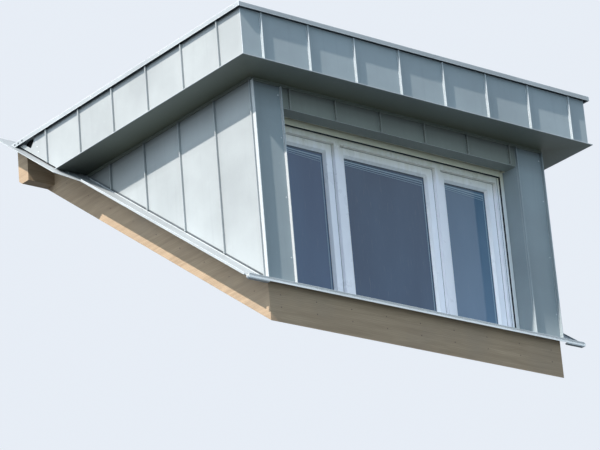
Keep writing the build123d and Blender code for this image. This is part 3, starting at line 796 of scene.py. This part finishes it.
def curb_nails():
    """Nail heads in the trimmers and the sill beam."""
    nails = Mesh()
    row, radius = 9, 0.0045
    for side in (-1, 1):
        x = side * TRIMMER
        for i in range(row):
            y = 0.02 + i * 0.235
            z = on_slope(y, 0.13)
            nails.screw((x, y, z), (x + side * 0.0015, y, z), radius, 10)
    for i in range(row):
        x = -1.12 + i * 0.28
        for z in (0.01, 0.09):
            nails.screw((x, SILL_BEAM, z), (x, SILL_BEAM - 0.0016, z), radius, 10)
    nails.piece("curb_nails", NAIL, "timber")


def rear_ends():
    """The ragged underlay behind the fascia's rear end, near-black as painted shade in the opening
    there, and dark discs painted as the shade inside holes in the coping's end.
    """
    torn_underlay_shade, holes = Mesh(), Mesh()
    strip, thickness = 0.0125, 0.0025
    for side in (-1, 1):
        for i in range(21):
            y = 1.880 + i * strip
            top = 1.863 - 0.006 * abs(math.sin(i * 2.3))
            foot = max(on_slope(y, 0.2720) + 0.012 + 0.020 * abs(math.sin(i * 1.7)), 1.60)
            if foot <= top - 0.01:
                inner = 1.4200 + 0.006 * math.sin(i * 0.9)
                end = y + strip - 0.0003
                torn_underlay_shade.side_box(side, inner, inner + thickness, (y, foot), (end, top))
        # Dark discs for the holes: painted shade inside them.
        face = side * COPING
        for y, z in ((2.000, 1.8545), (2.045, 1.8510), (2.085, 1.8540)):
            holes.rod((face, y, z), (face + side * 0.0012, y, z), 0.0065, 12)
    torn_underlay_shade.piece("torn_underlay_painted_shade", HOLE, "membrane")
    holes.piece("coping_holes", HOLE, "zinc")


def roof_laps():
    """Welded laps of the roof membrane and the mastic round its edge."""
    laps, bead = Mesh(), Mesh()
    half = 0.045
    for x in (-0.94, 0.0, 0.94):
        corner = (x - half, ROOF_FRONT + 0.001, ROOF_TOP)
        laps.box(corner, (x + half, 2.03, ROOF_TOP + 0.0016))
    end = ROOF_SIDE - 0.001
    laps.box((-end, 0.86, ROOF_TOP), (end, 0.95, ROOF_TOP + 0.0030))
    laps.piece("membrane_laps", MATERIALS["membrane"], "membrane")
    bead.hem(ROOF_SIDE - 0.007, ROOF_FRONT + 0.005, 2.02, ROOF_TOP, 0.004)
    bead.piece("membrane_mastic", GASKET, "membrane")


def board_joints():
    """Filled joints of the plasterboard ceiling."""
    joints = Mesh()
    half = 0.03
    for y in (0.62, 1.20):
        joints.box((-1.10, y - half, CEILING - 0.0006), (1.10, y + half, CEILING))
    for x in (-0.62, 0.62):
        joints.box((x - half, 0.14, CEILING - 0.0009), (x + half, 1.72, CEILING))
    joints.piece("board_joints", FILLER, "gypsum_board")


glazing_gaskets()
hems()
shutter_trim()
sealant()
drain_caps()
sheet_rivets()
coping_trim()
curb_nails()
rear_ends()
roof_laps()
board_joints()


# Camera, lights, floor and background

camera_data = bpy.data.cameras.new("camera")
camera_data.lens = CAMERA_LENS
camera_data.sensor_width = 36.0
camera_data.sensor_fit = "HORIZONTAL"
camera_data.clip_start = 0.5
camera_data.clip_end = 300.0
camera = bpy.data.objects.new("camera", camera_data)
right = Vector(CAMERA_RIGHT).normalized()
away = Vector(CAMERA_AWAY)
away = (away - right * away.dot(right)).normalized()
up = right.cross(away).normalized()
turn = Matrix((right, up, -away)).transposed().to_4x4()
camera.matrix_world = Matrix.Translation(CAMERA_PLACE) @ turn
bpy.context.scene.collection.objects.link(camera)
bpy.context.scene.camera = camera


def lamp(name, direction, strength, angle, colour):
    """A sun lamp that shines from a direction; its angle in degrees softens its shadows."""
    data = bpy.data.lights.new(name, "SUN")
    data.energy = strength
    data.angle = math.radians(angle)
    data.color = colour
    obj = bpy.data.objects.new(name, data)
    obj.rotation_mode = "QUATERNION"
    obj.rotation_quaternion = Vector(direction).to_track_quat("Z", "Y")
    bpy.context.scene.collection.objects.link(obj)


lamp("key", (-1.0, -0.20, 0.97), 6.5, 1.0, (1.0, 0.92, 0.84))
lamp("fill", (-0.25, -1.0, -0.12), 1.25, 60.0, (0.64, 0.86, 1.0))
lamp("sky", (-1.0, -0.05, 0.20), 2.15, 46.0, (0.78, 0.905, 1.0))


def seen_directly(tree):
    """1 for the rays that show a surface or the background, 0 for those that light it."""
    path = add(tree, "ShaderNodeLightPath")
    seen = maths(tree, "MAXIMUM", path.outputs["Is Camera Ray"], path.outputs["Is Glossy Ray"])
    return maths(tree, "MAXIMUM", seen, path.outputs["Is Transmission Ray"])


# The world lights softly from above, and shows the pale background
world = bpy.data.worlds.new("studio")
bpy.context.scene.world = world
world.use_nodes = True
tree = world.node_tree
tree.nodes.clear()
coords = add(tree, "ShaderNodeTexCoord")
upwards = split(tree, coords.outputs["Generated"]).outputs["Z"]
light = mix_colour(tree, ramp(tree, upwards, -0.25, 0.6), (0.13, 0.15, 0.16), (0.50, 0.60, 0.74))
shown = mix_colour(tree, seen_directly(tree), light, PALE)
back = add(tree, "ShaderNodeBackground")
link(tree, shown, back.inputs["Color"])
out = add(tree, "ShaderNodeOutputWorld")
link(tree, back.outputs["Background"], out.inputs["Surface"])


def mix_shaders(tree, factor, first, second):
    node = add(tree, "ShaderNodeMixShader")
    for socket, output in zip(node.inputs, (factor, first, second)):
        link(tree, output, socket)
    return node.outputs["Shader"]


# The floor is pale where it is seen, dim to the object it lights, and clear from below
floor_mat, tree = new_material("floor")
pale = add(tree, "ShaderNodeBsdfDiffuse")
pale.inputs["Color"].default_value = (0.398, 0.427, 0.453, 1.0)
dim = add(tree, "ShaderNodeBsdfDiffuse")
dim.inputs["Color"].default_value = (0.05, 0.055, 0.06, 1.0)
seen = seen_directly(tree)
above = mix_shaders(tree, seen, dim.outputs["BSDF"], pale.outputs["BSDF"])
clear = add(tree, "ShaderNodeBsdfTransparent")
below = add(tree, "ShaderNodeNewGeometry").outputs["Backfacing"]
out = add(tree, "ShaderNodeOutputMaterial")
link(tree, mix_shaders(tree, below, above, clear.outputs["BSDF"]), out.inputs["Surface"])
floor_mesh = bpy.data.meshes.new("floor")
corners = ((-1, -1), (1, -1), (1, 1), (-1, 1))
floor_mesh.from_pydata(
    [(FLOOR_REACH * x, FLOOR_REACH * y, FLOOR) for x, y in corners],
    [],
    [(0, 1, 2, 3)],
)
floor_mesh.materials.append(floor_mat)
floor = bpy.data.objects.new("floor", floor_mesh)
bpy.context.scene.collection.objects.link(floor)
floor.visible_shadow = False

bpy.context.scene.view_settings.view_transform = "Standard"
